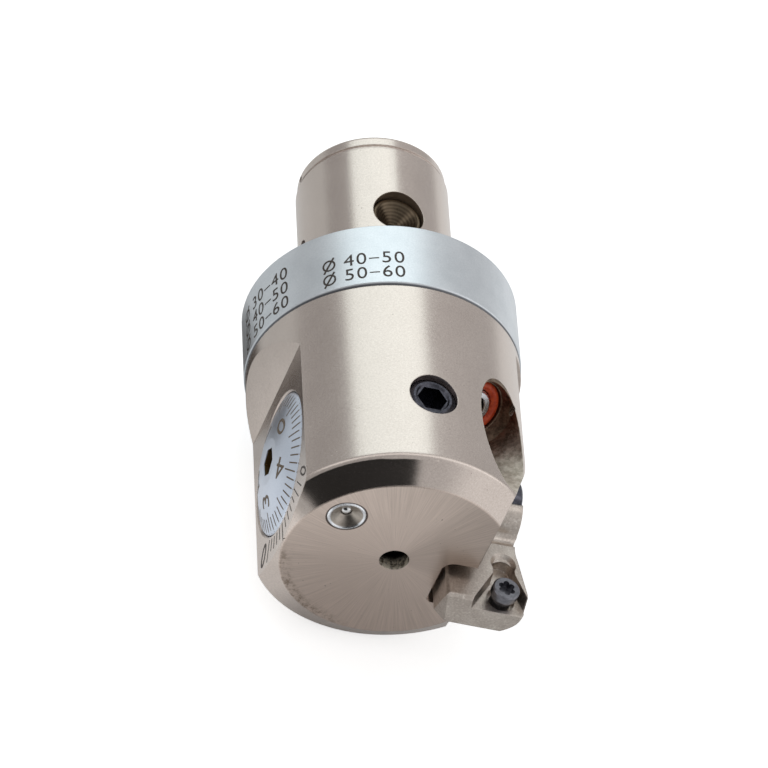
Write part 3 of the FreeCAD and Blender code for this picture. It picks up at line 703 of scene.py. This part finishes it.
def ring_numbers():
    """Plain number ranges in two groups round the ring. A group has its angle round the
    ring, the height of its top line and its lines."""
    line_pitch = 2.15
    groups = (
        (-72.4, -3.15, ("30-40", "40-50", "50-60")),
        (-21.2, -5.15, ("40-50", "50-60")),
    )
    marks = []
    for degrees, top, lines in groups:
        middle = math.radians(degrees) * RING_RADIUS
        for i, words in enumerate(lines):
            marks += number_range(words, middle, (top - line_pitch * i) * MM)
    etch("ring_numbers", marks, RingBoard(), "marking_ring", "head", mark_brown)


# ------------------------------------------------------------------ studio
def floor_lift(x, z):
    """Light of its own that each stretch of the floor shows in the metal: more towards
    +X beside the head, some on the -X side below the front face, and a strip close to
    the body's -X side. There is none where the body touches down, but for the strip."""
    beside = z.between(-45 * MM, -25 * MM)
    right_side = x.between(-50 * MM, 45 * MM) * 0.30
    below = (1.0 - x.between(0.0, 22 * MM)) * z.between(-78 * MM, -58 * MM) * 0.46
    away = across(x, z - NEAR_FLOOR_Z).between(16 * MM, 36 * MM)
    near_left = x.between(-5 * MM, -13 * MM) * x.between(-45 * MM, -30 * MM)
    near_left = near_left * z.between(-46 * MM, -40 * MM) * z.between(-10 * MM, -17 * MM)
    return (right_side * beside + below * (1.0 - beside)) * away + near_left * 0.26


def pale_floor():
    """White paper with a dark patch of painted shade that only the metal sees in
    reflection. Its back can be seen through."""
    material, finish = new_finish("pale_floor")
    path = finish.add("LightPath")
    seen = finish.number(path.outputs["Is Camera Ray"])
    mirrored = finish.number(path.outputs["Is Glossy Ray"])
    x, _, z = finish.place()
    # Painted shade: the dark patch is seen by glossy rays only, as a dark reflection.
    reflected_shade_patch = across(x - DARK_PATCH.x, z - DARK_PATCH.z).between(13 * MM, 6 * MM)
    dark = reflected_shade_patch * mirrored
    colour = finish.mix(dark, PAPER, (0.12, 0.10, 0.09, 1))
    strength = seen * PAPER_GLOW + mirrored * floor_lift(x, z) * (1.0 - dark)
    diffuse = finish.add("BsdfDiffuse", values={"Color": colour})
    glow = finish.add("Emission", values={"Color": WHITE, "Strength": strength})
    paper = finish.add("AddShader", values={0: diffuse.outputs[0], 1: glow.outputs[0]})
    behind = finish.add("NewGeometry").outputs["Backfacing"]
    clear = finish.add("BsdfTransparent")
    sides = {0: behind, 1: paper.outputs[0], 2: clear.outputs[0]}
    shown = finish.add("MixShader", values=sides)
    finish.add("OutputMaterial", values={"Surface": shown.outputs[0]})
    return material


def make_floor():
    """The head lies on its back, so the pale floor touches the ring's +Y side. It ends
    a little way below the front face."""
    middle = (0, FLOOR_Y, FLOOR_SIZE / 2 - FLOOR_END)
    bpy.ops.mesh.primitive_plane_add(size=1, location=middle, rotation=(math.pi / 2, 0, 0))
    floor = bpy.context.object
    floor.scale = (FLOOR_SIZE, FLOOR_SIZE, 1)
    bpy.ops.object.transform_apply(location=True, rotation=True, scale=True)
    floor.name = "floor"
    floor.data.materials.append(pale_floor())


def softbox(name, direction, distance, width, height, power):
    """A soft lamp that faces the head from the given direction."""
    way = Vector(direction).normalized()
    bpy.ops.object.light_add(type="AREA", location=way * distance)
    lamp = bpy.context.object
    lamp.name = name
    lamp.data.shape = "RECTANGLE"
    lamp.data.size = width
    lamp.data.size_y = height
    lamp.data.energy = power
    lamp.data.color = LAMP_COLOUR
    lamp.rotation_mode = "QUATERNION"
    lamp.rotation_quaternion = way.to_track_quat("Z", "Y")


def room_level(way):
    """How bright the room is that the metal sees in a direction: grey and darker on the
    -X side, bright in a band above the head and on the +X side below the flange, duller
    on the +X side above it, and black in an opening below the front face."""
    x, y, z = way
    opening = along(way, OPENING_WAY).between(0.885, 0.915)
    bright_side = x.between(0.32, 0.62) * z.between(0.0, -0.3)
    dull_side = x.between(0.35, 0.85) * z.between(0.0, 0.3)
    band = z.between(-0.26, -0.16) * z.between(0.20, 0.10)
    band = band * (0.0 - y).between(0.15, 0.45)
    room = x.between(-0.75, 0.30) * 0.20 + 0.45 + bright_side * 0.32
    room = room - dull_side * 0.09 + band * 0.75
    return room * (1.0 - opening * 0.94)


def light_world():
    """White behind the head, a grey room in the metal and an even soft light on the
    rest."""
    world = bpy.data.worlds.new("studio")
    bpy.context.scene.world = world
    world.use_nodes = True
    finish = Finish(world.node_tree)
    towards = finish.add("TexCoord").outputs["Generated"]
    split = finish.add("SeparateXYZ", values={0: towards})
    room = room_level([finish.number(split.outputs[i]) for i in range(3)])
    path = finish.add("LightPath")
    seen = finish.number(path.outputs["Is Camera Ray"])
    mirrored = finish.number(path.outputs["Is Glossy Ray"])
    lit = mirrored * room + (1.0 - mirrored) * SOFT_LEVEL
    strength = seen + (1.0 - seen) * lit
    background = finish.add("Background", values={"Color": WHITE, "Strength": strength})
    finish.add("OutputWorld", values={"Surface": background.outputs[0]})


def make_camera():
    """Looks up at the front face from the -X, -Y side."""
    right = Vector((math.cos(VIEW_AZIMUTH), -math.sin(VIEW_AZIMUTH), 0))
    ahead = Vector((
        math.sin(VIEW_AZIMUTH) * math.cos(VIEW_RISE),
        math.cos(VIEW_AZIMUTH) * math.cos(VIEW_RISE),
        math.sin(VIEW_RISE),
    ))
    up = right.cross(ahead)
    leaning_right = right * math.cos(VIEW_ROLL) + up * math.sin(VIEW_ROLL)
    leaning_up = up * math.cos(VIEW_ROLL) - right * math.sin(VIEW_ROLL)
    aim = leaning_right * VIEW_RIGHT - leaning_up * VIEW_DOWN
    bpy.ops.object.camera_add(location=aim - ahead * VIEW_DISTANCE)
    camera = bpy.context.object
    camera.rotation_mode = "QUATERNION"
    turn = Matrix((leaning_right, leaning_up, -ahead)).transposed()
    camera.rotation_quaternion = turn.to_quaternion()
    camera.data.lens = VIEW_LENS
    camera.data.sensor_width = 36
    camera.data.clip_start = 0.01
    camera.data.clip_end = 10
    bpy.context.scene.camera = camera


dress_nodes()
soft_oiler_spring()
dial_marks()
vernier_marks()
ring_numbers()
make_floor()
softbox("key", (-0.197, -0.725, 0.66), distance=0.5, width=0.45, height=0.30, power=0.465)
light_world()
make_camera()
bpy.context.scene.view_settings.view_transform = "Standard"
